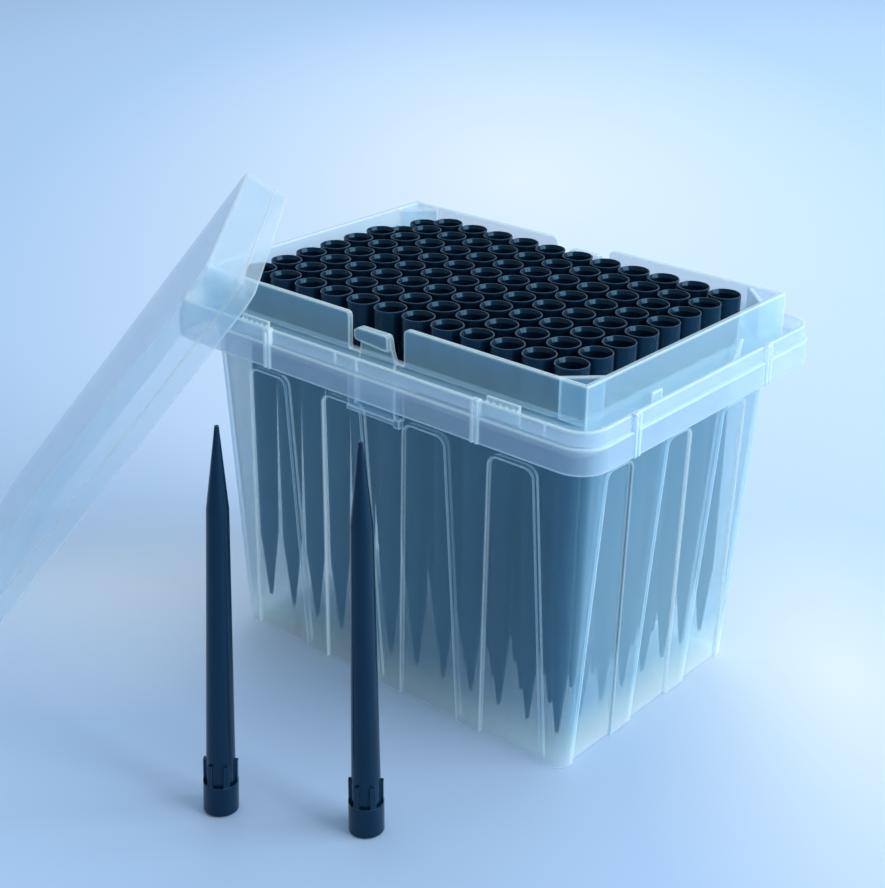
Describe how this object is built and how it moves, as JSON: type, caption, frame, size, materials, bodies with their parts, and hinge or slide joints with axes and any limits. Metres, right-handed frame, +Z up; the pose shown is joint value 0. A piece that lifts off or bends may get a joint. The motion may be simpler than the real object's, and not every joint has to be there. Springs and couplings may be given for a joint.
{
  "type": "box of pipette tips",
  "caption": "Translucent tub with a perforated rack holding 96 black pipette tips, its lid off and leaning on the tub, and two more tips standing in front.",
  "frame": {"origin": "middle of the underside of the tub", "axes": "+X along the tub's long side, to the right seen from the front; +Y to the back; +Z up"},
  "size_m": [0.2231, 0.1567, 0.1102],
  "materials": {
    "tub_plastic": "translucent polypropylene, faintly frosted",
    "rack_plastic": "translucent polypropylene, smooth",
    "lid_plastic": "clear polypropylene, faintly frosted",
    "tip_plastic": "black conductive polypropylene, satin gloss"
  },
  "bodies": {
    "root": {"tub": "tub_plastic", "rack": "rack_plastic", "lid": "lid_plastic", "tips_column_01": "tip_plastic", "tips_column_02": "tip_plastic", "tips_column_03": "tip_plastic", "tips_column_04": "tip_plastic", "tips_column_05": "tip_plastic", "tips_column_06": "tip_plastic", "tips_column_07": "tip_plastic", "tips_column_08": "tip_plastic", "tips_column_09": "tip_plastic", "tips_column_10": "tip_plastic", "tips_column_11": "tip_plastic", "tips_column_12": "tip_plastic", "loose_tip_left": "tip_plastic", "loose_tip_right": "tip_plastic"}
  },
  "joints": []
}
